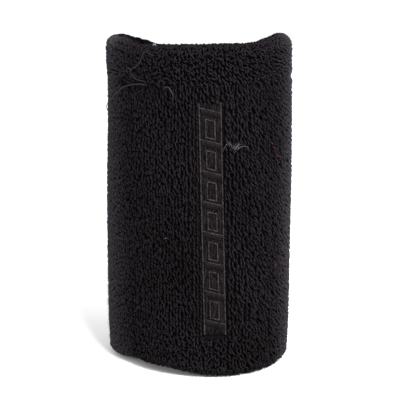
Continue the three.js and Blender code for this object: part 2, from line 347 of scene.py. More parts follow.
def yarn_tubes(lines, thickness, sides, bulge=0.15):
    """Closed tubes along centre lines. Each ring stands square to its line, on two directions
    taken from the line's own plane, and the tube is fuller in its middle by `bulge`, as a half
    sine. Returns vertices, faces, and a (length, turn) pair for each corner."""
    count, points = lines.shape[:2]
    tangents = np.gradient(lines, axis=1)
    tangents /= np.linalg.norm(tangents, axis=2, keepdims=True)
    chord = lines[:, -1] - lines[:, 0]
    rise = lines[:, points // 2] - (lines[:, 0] + lines[:, -1]) / 2
    plane = np.cross(chord, rise)[:, None, :]
    first = plane - np.sum(plane * tangents, axis=2, keepdims=True) * tangents
    first /= np.linalg.norm(first, axis=2, keepdims=True)
    second = np.cross(tangents, first)
    turns = 2 * np.pi * (np.arange(sides) + 0.5) / sides
    fullness = 1 - bulge + bulge * np.sin(np.pi * np.linspace(0, 1, points))
    radius = 0.001 * np.multiply.outer(np.asarray(thickness) / 2, fullness)[:, :, None, None]
    ring = np.cos(turns)[:, None] * first[:, :, None] + np.sin(turns)[:, None] * second[:, :, None]
    vertices = (lines[:, :, None] + radius * ring).reshape(-1, 3)

    tube, step, side = np.meshgrid(
        np.arange(count), np.arange(points - 1), np.arange(sides), indexing="ij"
    )
    start = (tube * points + step) * sides
    quads = np.stack(
        [start + side, start + (side + 1) % sides,
         start + sides + (side + 1) % sides, start + sides + side],
        axis=-1,
    ).reshape(-1, 4)
    ends = np.arange(count)[:, None] * points * sides
    caps = [ends + np.arange(sides)[::-1], ends + (points - 1) * sides + np.arange(sides)]

    steps = np.linalg.norm(np.diff(lines, axis=1), axis=2)
    length = 1000 * np.concatenate([np.zeros((count, 1)), np.cumsum(steps, axis=1)], axis=1)
    near, far = length[:, :-1, None], length[:, 1:, None]
    here, there = side / sides, (side + 1) / sides
    u = np.stack(np.broadcast_arrays(near, near, far, far), axis=-1)
    v = np.stack([here, there, there, here], axis=-1)
    quad_uv = np.stack(np.broadcast_arrays(u, v), axis=-1).reshape(-1, 2)
    cap_uv = np.zeros((2 * count * sides, 2))
    return vertices, [quads, *caps], np.concatenate([quad_uv, cap_uv])


def loop_lines(angle, along, heading, reach, height, lean, sway, steps=LOOP_STEPS):
    """The centre line of each loop, in millimetres from its place. From one foot to the other,
    both sunk in the ground, it runs as a cosine times `reach`. It rises as a half sine, rounded
    by a power, times `height`. It leans over by `lean` in its own direction and by `sway` across
    it, as half sines, and bends in a slight S, a whole sine. All of it is turned in the sheet by
    `heading`, in radians from straight up the wale."""
    t = np.linspace(0, np.pi, steps + 1)[None, :]
    angle, along, heading, reach, height, lean, sway = (
        np.asarray(values)[..., None] * np.ones((len(along), 1))
        for values in (angle, along, heading, reach, height, lean, sway)
    )
    forward = -reach * np.cos(t) + lean * np.sin(t)
    aside = sway * np.sin(t) + S_BEND_MM * np.sin(2 * t)
    out = GROUND_MM / 2 - SUNK_MM + height * np.sin(t) ** 0.75
    up = forward * np.cos(heading) - aside * np.sin(heading)
    around = forward * np.sin(heading) + aside * np.cos(heading)
    radius = np.interp(along, line_along, line[:, 0])
    return on_sheet(angle + around / radius, along + up, out)


# Combed cotton, dyed black with a violet cast. Each loop took the dye a little differently, and
# the two plies show as slanting ridges. The feet are painted darker than the tips, and the bore's
# inside darker still, as painted shade.
PLY_PITCH_MM = 0.9
PLY_RELIEF_MM = 0.06
cotton, tree, shader = new_material("black_combed_cotton_yarn")
tone = add_node(tree, "ShaderNodeAttribute", attribute_name="tone")
rise = add_node(tree, "ShaderNodeAttribute", attribute_name="rise")
dyed = add_node(
    tree,
    "ShaderNodeMix",
    {0: tone.outputs["Fac"], 6: srgb("#0d0b0b"), 7: srgb("#211d22")},
    data_type="RGBA",
)
# Painted shade: by the rise attribute the colour goes toward near black at each loop's feet and
# inside the bore.
with_painted_shade = add_node(
    tree,
    "ShaderNodeMix",
    {0: rise.outputs["Fac"], 6: srgb("#040304"), 7: dyed.outputs[2]},
    data_type="RGBA",
)
# A painted rim sheen: the colour is lightened toward pale grey where the wall turns away from the
# eye, standing in for light caught by stray fibre ends. It follows the angle between the eye and
# the band's own radius, not the loop's, and is scaled by the rise, so the feet and bore get less.
place = add_node(tree, "ShaderNodeTexCoord")
outward = add_node(
    tree, "ShaderNodeVectorMath", {0: place.outputs["Object"], 1: (1, 1, 0)}, operation="MULTIPLY"
)
straight_out = add_node(
    tree, "ShaderNodeVectorMath", {0: outward.outputs[0]}, operation="NORMALIZE"
)
turning = add_node(
    tree, "ShaderNodeLayerWeight", {"Blend": 0.5, "Normal": straight_out.outputs[0]}
)
painted_rim_sheen = add_node(
    tree,
    "ShaderNodeMapRange",
    {0: turning.outputs["Facing"], 1: 0.4, 2: 1.0, 3: 0.0, 4: 0.27},
    interpolation_type="SMOOTHSTEP",
)
painted_rim_sheen_at_tips = add_node(
    tree, "ShaderNodeMath", {0: painted_rim_sheen.outputs[0], 1: rise.outputs["Fac"]}, operation="MULTIPLY"
)
# Painted rim sheen: the base colour is mixed toward pale grey at grazing angles.
with_painted_rim_sheen = add_node(
    tree,
    "ShaderNodeMix",
    {0: painted_rim_sheen_at_tips.outputs[0], 6: with_painted_shade.outputs[2], 7: srgb("#625e66")},
    data_type="RGBA",
)
yarn_uv = add_node(tree, "ShaderNodeUVMap", uv_map="yarn")
split = add_node(tree, "ShaderNodeSeparateXYZ", {0: yarn_uv.outputs[0]})
laid = add_node(
    tree, "ShaderNodeMath", {0: split.outputs[0], 1: 1 / PLY_PITCH_MM}, operation="MULTIPLY"
)
wound = add_node(
    tree, "ShaderNodeMath", {0: split.outputs[1], 1: 2.0, 2: laid.outputs[0]},
    operation="MULTIPLY_ADD",
)
phase = add_node(
    tree, "ShaderNodeMath", {0: wound.outputs[0], 1: 2 * np.pi}, operation="MULTIPLY"
)
ridge = add_node(tree, "ShaderNodeMath", {0: phase.outputs[0]}, operation="SINE")
relief = add_node(
    tree,
    "ShaderNodeBump",
    {"Height": ridge.outputs[0], "Distance": 0.001 * PLY_RELIEF_MM, "Strength": 0.7},
)
tree.links.new(with_painted_rim_sheen.outputs[2], shader.inputs["Base Color"])
tree.links.new(relief.outputs[0], shader.inputs["Normal"])
shader.inputs["Roughness"].default_value = 0.9
shader.inputs["Specular IOR Level"].default_value = 0.03


def patchy(angle, height):
    """A slow change over the band from -1 to 1, the mean of three sine waves of different
    lengths that slant round it."""
    return (
        np.sin(2 * angle + height / 17) + np.sin(3 * angle - height / 11 + 1)
        + np.sin(5 * angle + height / 7 + 2)
    ) / 3


def pile_piece(
    name, angle, along, loops, sides=LOOP_SIDES, steps=LOOP_STEPS, thickness=0.57, dye=0.36
):
    """A piece of pile, a tube to each loop. Each loop has its tone, and each of its points a
    rise, from 0.7 at the feet to 1 at the tip, which paints shade at the feet, between the loops.
    Inside the bore the rise is a twentieth of that, a painted shade. The change comes at the top
    of the upper fold, a little sooner at the back than in front, and in the last 1.5 mm at the
    middle of the lower fold."""
    lines = loop_lines(angle, along, *loops, steps=steps)
    count = len(lines)
    lines[..., 2] = np.maximum(lines[..., 2], 0.0005 * thickness)
    thick = thickness * chance.uniform(0.85, 1.15, count)
    vertices, faces, uv = yarn_tubes(lines, thick, sides)
    height = 1000 * lines[:, steps // 2, 2]
    tone = dye + 0.16 * patchy(angle, height) + 0.12 * chance.normal(size=count)
    over_fold = (along - part_starts[3]) / (part_starts[4] - part_starts[3])
    past_top = np.clip((over_fold - 0.5 + 0.15 * np.sin(angle)) / 0.12 + 0.5, 0, 1)
    before_foot = np.clip((part_starts[5:7].mean() - along) / 1.5 + 0.5, 0, 1)
    # This factor paints shade inside the bore and on the back wall's inner side, seen over the
    # rim.
    bore_shade_factor = 1 - 0.95 * past_top * before_foot
    arch = np.sin(np.pi * np.linspace(0, 1, steps + 1)) ** 1.2
    rise = bore_shade_factor[:, None] * (0.7 + 0.3 * arch)
    attributes = {
        "tone": np.repeat(np.clip(tone, 0, 1), (steps + 1) * sides),
        "rise": np.repeat(rise.ravel(), sides),
    }
    piece = new_piece(name, vertices, faces, cotton, uv, attributes)
    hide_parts("terry_tube")
    return piece


def loop_places(columns, first, last, course):
    """Angles and distances along the sheet of a field of loops between two distances. Rows are
    about `course` apart, every other column is a quarter of a course on, and each loop is a
    little off its place."""
    rows = max(1, round((last - first) / course))
    column, row = (a.ravel() for a in np.meshgrid(np.arange(columns), np.arange(rows)))
    along = first + (row + 0.25 + 0.25 * (column % 2)) * (last - first) / rows
    angle = 2 * np.pi * (column + chance.normal(0, 0.14, column.size)) / columns
    return angle, along + chance.normal(0, 0.16, column.size)


# The strip's place on the straight tube, from the middle of its CAD patch. No loop stands as far
# as BARE_MM beyond its edges, and as far as PRESSED_MM its stitches hold the loops down.
STRIP_WIDTH_MM = 7.0
STRIP_LEAN = np.tan(np.radians(1.3))
BARE_MM = {"left": 0.2, "right": 0.3, "ends": 0.7}
PRESSED_MM = {"left": 2.0, "right": 0.6}
PRESSED_BY_MM = 0.5
strip_low, strip_high = (1000 * np.array(corner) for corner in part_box("embroidery_ground_fill"))
strip_middle = (strip_low + strip_high) / 2
strip_angle = np.arctan2(strip_middle[1], strip_middle[0])
strip_settle = 1 - FRONT_DIP_MM * abs(np.sin(strip_angle)) ** DIP_POWER / band_length
strip_length = (strip_high[2] - strip_low[2]) / strip_settle
strip_centre = strip_middle[2] / strip_settle


def looseness(angle):
    """From 0 on the left, where the loops lie low and close, to 1 on the right, where they stand
    taller and looser."""
    return np.clip(0.5 + 0.6 * np.cos(angle + 0.2), 0, 1)


def from_strip(angle, along):
    """Where each loop stands across and up the strip from the strip's middle, in millimetres."""
    height = np.interp(along, line_along, line[:, 1]) - strip_centre
    radius = np.interp(along, line_along, line[:, 0])
    turned = (angle - strip_angle + np.pi) % (2 * np.pi) - np.pi
    return turned * radius + STRIP_LEAN * height, height


# At the left the seam opens in a crease, where the first loops on both sides of it are missing.
CREASE_DEGREES = 220
CREASE_SPREAD = 15
CREASE_MM = 1.6
# Near the lower rim the loops point less evenly up the wale.
TANGLED_BELOW_MM = 14


def in_crease(angle, along):
    """Whether each loop would stand in the crease."""
    near = (along < part_starts[1] + CREASE_MM) | (along > part_starts[8] - CREASE_MM / 2)
    return near & (np.abs(np.degrees(angle) - CREASE_DEGREES) < CREASE_SPREAD)


def outer_face():
    """The outer face below the seam, in four quarters. The loops keep to their wales, lean down
    the band, and stand taller on the loose side."""
    angle, along = loop_places(LOOP_COLUMNS, part_starts[6], part_starts[8] - 0.1, COURSE_MM)
    count = len(angle)
    across, up = from_strip(angle, along)
    half = STRIP_WIDTH_MM / 2
    beside = np.abs(up) < strip_length / 2 + BARE_MM["ends"]
    bare = beside & (across > -half - BARE_MM["left"]) & (across < half + BARE_MM["right"])
    pressed = beside & (across > -half - PRESSED_MM["left"])
    pressed &= across < half + PRESSED_MM["right"]
    bare |= in_crease(angle, along)
    low_down = np.interp(along, line_along, line[:, 1]) < TANGLED_BELOW_MM
    loose = looseness(angle)
    heading = chance.normal(0, 1, count) * np.where(low_down, 0.5, 0.2)
    reach = chance.uniform(0.5, 0.7, count) + 0.15 * loose
    standing = chance.uniform(1.2, 1.4, count)
    height = np.where(pressed, standing - PRESSED_BY_MM, standing + 0.45 * loose)
    lean = np.where(pressed, 0.1, chance.normal(-0.5, 0.35, count))
    # Here and there on the loose side the loops part in short upright furrows.
    furrow = np.sin(38 * angle + 2 * np.sin(up / 9)) * np.clip(np.sin(up / 5 + 5 * angle), 0, 1)
    sway = np.where(pressed, 0.0, chance.normal(0, 0.14, count) + 0.4 * loose * furrow)
    loops = np.stack([heading, reach, height, lean, sway])
    quarter = ((angle - strip_angle + np.pi / 4) % (2 * np.pi) // (np.pi / 2)).astype(int)
    kept = [(quarter == i) & ~bare for i in range(4)]
    return [
        pile_piece(f"pile_{side}", angle[keep], along[keep], loops[:, keep])
        for side, keep in zip(("front", "right", "back", "left"), kept)
    ]


def tangled(name, columns, part, course, height=1.7, lay=(0, 0.5), heading=(0, 3), **tube):
    """A field of loops over part of the sheet. `heading` is the way they lie, in radians, and
    `lay` how far over they lean, in millimetres, both with their spread. Left alone, they lie
    every way. Loops on the loose side stand up to a tenth higher."""
    angle, along = loop_places(columns, *part, course)
    kept = ~in_crease(angle, along)
    angle, along = angle[kept], along[kept]
    count = len(angle)
    loops = (
        chance.normal(*heading, count),
        chance.uniform(0.32, 0.58, count),
        height * chance.uniform(0.82, 1.0, count) * (1 + 0.1 * looseness(angle)),
        chance.normal(*lay, count),
        chance.normal(0, 0.6 * lay[1], count),
    )
    return pile_piece(name, angle, along, loops, **tube)


# Above the seam the loops are finer and closer, and point a little to one side of the wale.
above_seam = (part_starts[1] + 0.1, part_starts[3])
bore_middle = (part_starts[4] + part_starts[5]) / 2
pile = [
    *outer_face(),
    tangled(
        "pile_above_seam", LOOP_COLUMNS, above_seam, 0.9, lay=(-0.35, 0.35),
        heading=(-0.3, 0.45), thickness=0.5, dye=0.57,
    ),
    # The upper fold is worn smooth, so its loops are short, fine and close; they are set a little
    # paler in tone.
    tangled(
        "pile_upper_fold", 210, part_starts[3:5], 0.45, height=1.5, lay=(0, 0.2), thickness=0.5,
        dye=0.6,
    ),
    tangled("pile_lower_fold", LOOP_COLUMNS, part_starts[5:7], 0.55, lay=(0, 0.35)),
    tangled("pile_bore_upper", 112, (part_starts[4], bore_middle), 1.45, sides=3, steps=5),
    tangled("pile_bore_lower", 112, (bore_middle, part_starts[5]), 1.45, sides=3, steps=5),
]

# ---------------------------------------------------------------------------------------------
# The closing seam: the two raw ends turned in and linked edge to edge with spun polyester
# thread, one slanting stitch to a wale, down between the loops of both sides.
SEAM_STITCH_MM = 0.3
SEAM_BITE_MM = 0.55
SEAM_SUNK_MM = 0.35
SEAM_ARCH_MM = 0.45
FLECK_MM = 0.7

link, tree, shader = new_material("black_spun_polyester_thread")
place = add_node(tree, "ShaderNodeTexCoord")
fleck = add_node(
    tree, "ShaderNodeTexNoise", {"Vector": place.outputs["Object"], "Scale": 1000 / FLECK_MM}
)
shade = add_node(
    tree,
    "ShaderNodeMix",
    {0: fleck.outputs[0], 6: srgb("#0a090b"), 7: srgb("#19171b")},
    data_type="RGBA",
)
tree.links.new(shade.outputs[2], shader.inputs["Base Color"])
shader.inputs["Roughness"].default_value = 0.75

wale = np.arange(LOOP_COLUMNS)
t = np.linspace(0, 1, 6)[None, :]
seam_angle = 2 * np.pi * (wale[:, None] + 0.25 + 0.5 * t) / LOOP_COLUMNS
seam_lines = on_band(
    seam_angle,
    outer_wall - SEAM_SUNK_MM + SEAM_ARCH_MM * np.sin(np.pi * t),
    seam_height + SEAM_BITE_MM * (2 * t - 1),
)
vertices, faces, uv = yarn_tubes(seam_lines, np.full(LOOP_COLUMNS, SEAM_STITCH_MM), 5)
seam = new_piece("seam_linking_stitches", vertices, faces, link, uv)
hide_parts("closing_seam_thread")

# ---------------------------------------------------------------------------------------------
# The elastic yarn in both layers: a rubber core wrapped in black nylon, laid in behind the
# ground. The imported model's yarns are kept, and the wrapping shows on them as fine bands.
WRAP_MM = 0.25
WRAP_RELIEF_MM = 0.05
covered, tree, shader = new_material("nylon_wrapped_rubber_yarn")
place = add_node(tree, "ShaderNodeTexCoord")
wraps = add_node(
    tree,
    "ShaderNodeTexWave",
    {"Vector": place.outputs["Object"], "Scale": bands_apart(WRAP_MM, 10 * np.sqrt(3)),
     "Distortion": 1.0},
    bands_direction="DIAGONAL",
)
shade = add_node(
    tree,
    "ShaderNodeMix",
    {0: wraps.outputs["Fac"], 6: srgb("#1c1c1e"), 7: srgb("#38383b")},
    data_type="RGBA",
)
relief = add_node(
    tree,
    "ShaderNodeBump",
    {"Height": wraps.outputs["Fac"], "Distance": 0.001 * WRAP_RELIEF_MM},
)
tree.links.new(shade.outputs[2], shader.inputs["Base Color"])
tree.links.new(relief.outputs[0], shader.inputs["Normal"])
shader.inputs["Roughness"].default_value = 0.5
for node in ("outer_layer", "above_seam", "inner_layer"):
    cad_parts[f"elastic_yarn_{node}"].data.materials[0] = covered

# ---------------------------------------------------------------------------------------------
# The embroidered strip, worked through the outer layer before the tube was closed. Its ground is
# a fill of short upright stitches, staggered by a third from row to row so that they lock.
FILL_ROW_MM = 0.42
FILL_STITCH_MM = 1.5
FILL_OVERLAP_MM = 0.2
SHORTEST_STITCH_MM = 0.4
FILL_THREAD_MM = 0.44
FILL_BASE_MM = 0.25
TWIST_RELIEF_MM = 0.03
pocket_radius = outer_wall + GROUND_MM / 2


def on_strip(across, up, out):
    """The place of a point on the strip, across and up it from its middle and out from the
    ground. The strip follows the wall's curve and leans by STRIP_LEAN."""
    angle = strip_angle + (across - STRIP_LEAN * up) / pocket_radius
    return on_band(angle, pocket_radius + out, strip_centre + up)


def stitches(name, ends, thickness, base, rise, material, nodes=(), sides=4, steps=4):
    """A piece of stitches that stands for some CAD nodes. Each is an arch between two (across,
    up) ends: straight between them, `base` over the ground and higher by `rise` times a half
    sine."""
    t = np.linspace(0, 1, steps + 1)[None, :, None]
    first, last = (np.asarray(end)[:, None, :] for end in ends)
    flat = first + (last - first) * t
    out = base + rise * np.sin(np.pi * t[..., 0])
    lines = on_strip(flat[..., 0], flat[..., 1], out)
    count = len(lines)
    vertices, faces, uv = yarn_tubes(lines, thickness * chance.uniform(0.94, 1.06, count), sides)
    tone = np.repeat(chance.uniform(0, 1, count), (steps + 1) * sides)
    piece = new_piece(name, vertices, faces, material, uv, {"tone": tone})
    if nodes:
        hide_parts(*nodes)
    return piece


def embroidery_thread(name, dark, light, roughness):
    """Two-ply viscose embroidery thread between two colours. The two plies show as fine ridges
    that go once round the thread in two millimetres."""
    thread, tree, shader = new_material(name)
    tone = add_node(tree, "ShaderNodeAttribute", attribute_name="tone")
    shade = add_node(
        tree,
        "ShaderNodeMix",
        {0: tone.outputs["Fac"], 6: srgb(dark), 7: srgb(light)},
        data_type="RGBA",
    )
    uv = add_node(tree, "ShaderNodeUVMap", uv_map="yarn")
    split = add_node(tree, "ShaderNodeSeparateXYZ", {0: uv.outputs[0]})
    twist = add_node(
        tree, "ShaderNodeMath", {0: split.outputs[1], 1: 2.0, 2: split.outputs[0]},
        operation="MULTIPLY_ADD",
    )
    phase = add_node(
        tree, "ShaderNodeMath", {0: twist.outputs[0], 1: 2 * np.pi}, operation="MULTIPLY"
    )
    ridge = add_node(tree, "ShaderNodeMath", {0: phase.outputs[0]}, operation="SINE")
    relief = add_node(
        tree,
        "ShaderNodeBump",
        {"Height": ridge.outputs[0], "Distance": 0.001 * TWIST_RELIEF_MM},
    )
    tree.links.new(shade.outputs[2], shader.inputs["Base Color"])
    tree.links.new(relief.outputs[0], shader.inputs["Normal"])
    shader.inputs["Roughness"].default_value = roughness
    shader.inputs["Specular IOR Level"].default_value = 0.05
    return thread


# Black viscose has a soft satin shine that runs along the stitch. The fill's short stitches get
# tones spread at random, a painted sheen for the shine they catch unevenly, and the bars' long
# stitches one even grey.
# Painted sheen: the fill's random spread of tones stands in for its uneven shine.
fill_thread_painted_sheen = embroidery_thread("black_viscose_fill_stitches", "#030303", "#1d181a", 0.6)
satin = embroidery_thread("black_viscose_satin_stitches", "#100e0f", "#161314", 0.5)

rows = int(STRIP_WIDTH_MM / FILL_ROW_MM) + 1
row_count = int(strip_length / FILL_STITCH_MM) + 2
row, place_in_row = (a.ravel() for a in np.meshgrid(np.arange(rows), np.arange(row_count)))
across = (row - (rows - 1) / 2) * STRIP_WIDTH_MM / rows
start = (place_in_row - (row % 3) / 3) * FILL_STITCH_MM - strip_length / 2
low = np.clip(start, -strip_length / 2, strip_length / 2)
high = np.clip(start + FILL_STITCH_MM + FILL_OVERLAP_MM, -strip_length / 2, strip_length / 2)
whole = high - low > SHORTEST_STITCH_MM
low, high, across = low[whole], high[whole], across[whole]
waver = chance.normal(0, 0.04, (2, len(low)))
fill = stitches(
    "strip_fill_stitches",
    (np.stack([across + waver[0], low], -1), np.stack([across + waver[1], high], -1)),
    thickness=FILL_THREAD_MM,
    base=FILL_BASE_MM,
    rise=0.14,
    material=fill_thread_painted_sheen,
    nodes=["embroidery_ground_fill"],
)

# Satin-stitched bars over the fill: threads side by side up the bar, over a soft padding, so the
# bar stands proud and catches the light along its upper edge. They slope down to the right.
BAR_COUNT = 8
BAR_MM = 1.7
BAR_SLOPE = np.tan(np.radians(-14))
BAR_HALF_WIDTH_MM = 2.65
SATIN_PITCH_MM = 0.34
SATIN_THREAD_MM = 0.38
SATIN_SLANT_MM = 0.12
BAR_BASE_MM = 0.5

bar_middles = np.array(
    [
        500 * sum(corner.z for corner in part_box(f"embroidery_bar_{i + 1}")) / strip_settle
        for i in range(BAR_COUNT)
    ]
) - strip_centre
count = int(2 * BAR_HALF_WIDTH_MM / SATIN_PITCH_MM)
across = np.tile(np.linspace(-BAR_HALF_WIDTH_MM, BAR_HALF_WIDTH_MM, count), BAR_COUNT)
up = np.repeat(bar_middles, count) + BAR_SLOPE * across
bars = stitches(
    "strip_satin_bars",
    (
        np.stack([across, up - BAR_MM / 2], -1),
        np.stack([across + SATIN_SLANT_MM, up + BAR_MM / 2], -1),
    ),
    thickness=SATIN_THREAD_MM,
    base=BAR_BASE_MM,
    rise=0.42,
    material=satin,
    nodes=[f"embroidery_bar_{i + 1}" for i in range(BAR_COUNT)],
    steps=6,
)

# The outlines: a narrow zigzag in brownish grey thread down both edges and round the lozenges,
# worked last, so each line lies on the fill like a fine rope.
LINE_PITCH_MM = 0.36
LINE_MM = 0.5
LINE_SLANT_MM = 0.32
LINE_INSET_MM = 0.1
LINE_THREAD_MM = 0.34
LINE_BASE_MM = 0.55
LINE_RISE_MM = 0.2
BORDER_INSET_MM = 0.25
EDGE_THREAD_MM = 0.3
EDGE_GAP_MM = 0.12
EDGE_END_GAP_MM = 0.3
LOZENGE_HALF_WIDTH_MM = 1.35
LOZENGE_END_GAP_MM = 0.9
outline = embroidery_thread("brownish_grey_embroidery_thread", "#171315", "#352f31", 0.5)


def rope(corners):
    """Stitch ends for a line through (across, up) corners: places a stitch apart along it, each
    stitch slanting from one side of the line to the other."""
    corners = np.asarray(corners, float)
    steps = np.linalg.norm(np.diff(corners, axis=0), axis=1)
    along = np.concatenate([[0], np.cumsum(steps)])
    at = np.arange(LINE_PITCH_MM / 2, along[-1], LINE_PITCH_MM)
    middle = np.stack([np.interp(at, along, corners[:, i]) for i in (0, 1)], -1)
    ahead = np.diff(corners, axis=0)[np.searchsorted(along, at, side="right") - 1]
    ahead /= np.linalg.norm(ahead, axis=1, keepdims=True)
    beside = np.stack([-ahead[:, 1], ahead[:, 0]], -1)
    slant = LINE_SLANT_MM * ahead + (LINE_MM / 2 - LINE_INSET_MM) * beside
    return middle - slant, middle + slant


half_strip = strip_length / 2
border_across = STRIP_WIDTH_MM / 2 - BORDER_INSET_MM
for side, across in (("left", -border_across), ("right", border_across)):
    border = stitches(
        f"strip_{side}_border",
        rope([(across, -half_strip), (across, half_strip)]),
        thickness=LINE_THREAD_MM,
        base=LINE_BASE_MM,
        rise=LINE_RISE_MM,
        material=outline,
        nodes=[f"embroidery_border_{side}"],
    )

# Each bar is edged along its top with the same lighter line, held between the two borders: a
# painted highlight for the light that the bar's upper edge catches.
run = (border_across - EDGE_END_GAP_MM) * np.array([-1, 1])
bar_tops = bar_middles + BAR_MM / 2 + EDGE_GAP_MM
edges = [rope(np.stack([run, top + BAR_SLOPE * run], -1)) for top in bar_tops]
# Painted highlight: a lighter line of thread along each bar's top.
bar_top_painted_highlights = stitches(
    "strip_bar_top_painted_highlights",
    tuple(np.concatenate([pair[i] for pair in edges]) for i in (0, 1)),
    thickness=EDGE_THREAD_MM,
    base=LINE_BASE_MM,
    rise=LINE_RISE_MM,
    material=outline,
)

middles = (bar_middles[:-1] + bar_middles[1:]) / 2
bar_pitch = abs(bar_middles[1] - bar_middles[0])
half_height = (bar_pitch - BAR_MM) / 2 - LOZENGE_END_GAP_MM - LINE_MM / 2
width, rise = LOZENGE_HALF_WIDTH_MM, BAR_SLOPE * LOZENGE_HALF_WIDTH_MM
ring = np.array(
    [
        (-width, -half_height - rise),
        (width, -half_height + rise),
        (width, half_height + rise),
        (-width, half_height - rise),
        (-width, -half_height - rise),
    ]
)
pairs = [rope(ring + (0, middle)) for middle in middles]
lozenges = stitches(
    "strip_lozenge_outlines",
    tuple(np.concatenate([pair[i] for pair in pairs]) for i in (0, 1)),
    thickness=LINE_THREAD_MM,
    base=LINE_BASE_MM,
    rise=LINE_RISE_MM,
    material=outline,
    nodes=[f"embroidery_lozenge_{i + 1}" for i in range(BAR_COUNT - 1)],
)

# Behind the strip, between the layers: a tear-away backing of pressed grey fibres, and the
# bobbin thread's rows, which are locked through it.
FIBRE_MM = 0.8
felt, tree, shader = new_material("tear_away_backing_felt")
place = add_node(tree, "ShaderNodeTexCoord")
fibres = add_node(
    tree,
    "ShaderNodeTexNoise",
    {"Vector": place.outputs["Object"], "Scale": 1000 / FIBRE_MM, "Detail": 4.0},
)
shade = add_node(
    tree,
    "ShaderNodeMix",
    {0: fibres.outputs[0], 6: srgb("#2c2c2e"), 7: srgb("#4c4c4f")},
    data_type="RGBA",
)
tree.links.new(shade.outputs[2], shader.inputs["Base Color"])
shader.inputs["Roughness"].default_value = 0.95
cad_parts["embroidery_backing"].data.materials[0] = felt

bobbin, tree, shader = new_material("black_bobbin_thread")
place = add_node(tree, "ShaderNodeTexCoord")
rows_behind = add_node(
    tree,
    "ShaderNodeTexWave",
    {"Vector": place.outputs["Object"], "Scale": bands_apart(FILL_ROW_MM), "Distortion": 0.5},
    bands_direction="X",
)
shade = add_node(
    tree,
    "ShaderNodeMix",
    {0: rows_behind.outputs["Fac"], 6: srgb("#0b0a0c"), 7: srgb("#1c1a1e")},
    data_type="RGBA",
)
tree.links.new(shade.outputs[2], shader.inputs["Base Color"])
shader.inputs["Roughness"].default_value = 0.7
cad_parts["embroidery_bobbin_stitches"].data.materials[0] = bobbin

# ---------------------------------------------------------------------------------------------
# Stray fibres: the cotton sheds a thin fuzz of broken fibres that stand off the loops all round.
# Each is far finer than a loop's yarn, and none lies over the strip or under the floor.
FUZZ_COUNT = 6000
FUZZ_MM = 0.035
FUZZ_UP_MM = 1.5
FUZZ_CLEAR_MM = 1.0
FUZZ_UPPER_SHARE = 0.15

stray, tree, shader = new_material("stray_cotton_fibre")
tone = add_node(tree, "ShaderNodeAttribute", attribute_name="tone")
shade = add_node(
    tree,
    "ShaderNodeMix",
    {0: tone.outputs["Fac"], 6: srgb("#151316"), 7: srgb("#3a363c")},
    data_type="RGBA",
)
tree.links.new(shade.outputs[2], shader.inputs["Base Color"])
shader.inputs["Roughness"].default_value = 0.9
shader.inputs["Specular IOR Level"].default_value = 0.1

angle = chance.uniform(0, 2 * np.pi, FUZZ_COUNT)
along = chance.uniform(part_starts[5], part_starts[8], FUZZ_COUNT)
upper = chance.uniform(part_starts[1], part_starts[4], FUZZ_COUNT)
along = np.where(chance.uniform(size=FUZZ_COUNT) < FUZZ_UPPER_SHARE, upper, along)
across, up = from_strip(angle, along)
clear = np.abs(across) > STRIP_WIDTH_MM / 2 + FUZZ_CLEAR_MM
clear |= np.abs(up) > half_strip + FUZZ_CLEAR_MM
angle, along = angle[clear], along[clear]
count = len(angle)
t = np.linspace(0, 1, 5)[None, :]
way = chance.uniform(0, 2 * np.pi, count)[:, None]
curl = chance.normal(0, 1.6, count)[:, None]
span = chance.uniform(0.5, 1.6, count)[:, None]
radius = np.interp(along, line_along, line[:, 0])[:, None]
fuzz_lines = on_sheet(
    angle[:, None] + span * t * np.cos(way + curl * t) / radius,
    along[:, None] + span * t * np.sin(way + curl * t),
    FUZZ_UP_MM + chance.uniform(0.2, 0.9, count)[:, None] * np.sin(0.75 * np.pi * t),
)
fuzz_lines[..., 2] = np.maximum(fuzz_lines[..., 2], 0.0005 * FUZZ_MM)
vertices, faces, uv = yarn_tubes(fuzz_lines, np.full(count, FUZZ_MM), 3)
tones = np.repeat(chance.uniform(0, 1, count), 5 * 3)
fuzz = new_piece("stray_fuzz", vertices, faces, stray, uv, {"tone": tones})

# ---------------------------------------------------------------------------------------------
# What wear has done to this one: threads pulled out of the pile by the left of the seam, a snag
# beside the strip, a pale tuft at the rim and a few specks of lint. They lie on the loops.


def through(points):
    """A smooth line through points: each span a cubic whose slope at a point is half the step
    between its neighbours (Catmull and Rom's curve), taken at six even steps in each span."""
    p = np.asarray(points, float)
    p = np.concatenate([[2 * p[0] - p[1]], p, [2 * p[-1] - p[-2]]])
    t = np.linspace(0, 1, 6, endpoint=False)[:, None]
    before, start, end, after = (p[i : len(p) - 3 + i, None, :] for i in range(4))
    spans = 0.5 * (
        2 * start + (end - before) * t
        + (2 * before - 5 * start + 4 * end - after) * t**2
        + (3 * start - before - 3 * end + after) * t**3
    )
    return np.concatenate([spans.reshape(-1, p.shape[1]), p[-2:-1]])


def loose_thread(name, points, thickness, material, tone):
    """One pulled thread lying on the pile through points of angle in degrees, height and
    distance over the loops, in millimetres."""
    degrees, height, over = through(points).T
    lines = on_band(np.radians(degrees), outer_radius + over, height)[None]
    vertices, faces, uv = yarn_tubes(lines, np.array([thickness]), 6, bulge=0.4)
    tones = np.full(len(vertices), tone)
    piece = new_piece(name, vertices, faces, material, uv, {"tone": tones})
    return piece


# Rubbed cotton, from nearly black to a pale grey by its tone.
pulled, tree, shader = new_material("pulled_grey_cotton_thread")
tone = add_node(tree, "ShaderNodeAttribute", attribute_name="tone")
shade = add_node(
    tree,
    "ShaderNodeMix",
    {0: tone.outputs["Fac"], 6: srgb("#171518"), 7: srgb("#616469")},
    data_type="RGBA",
)
tree.links.new(shade.outputs[2], shader.inputs["Base Color"])
shader.inputs["Roughness"].default_value = 0.85
shader.inputs["Specular IOR Level"].default_value = 0.1

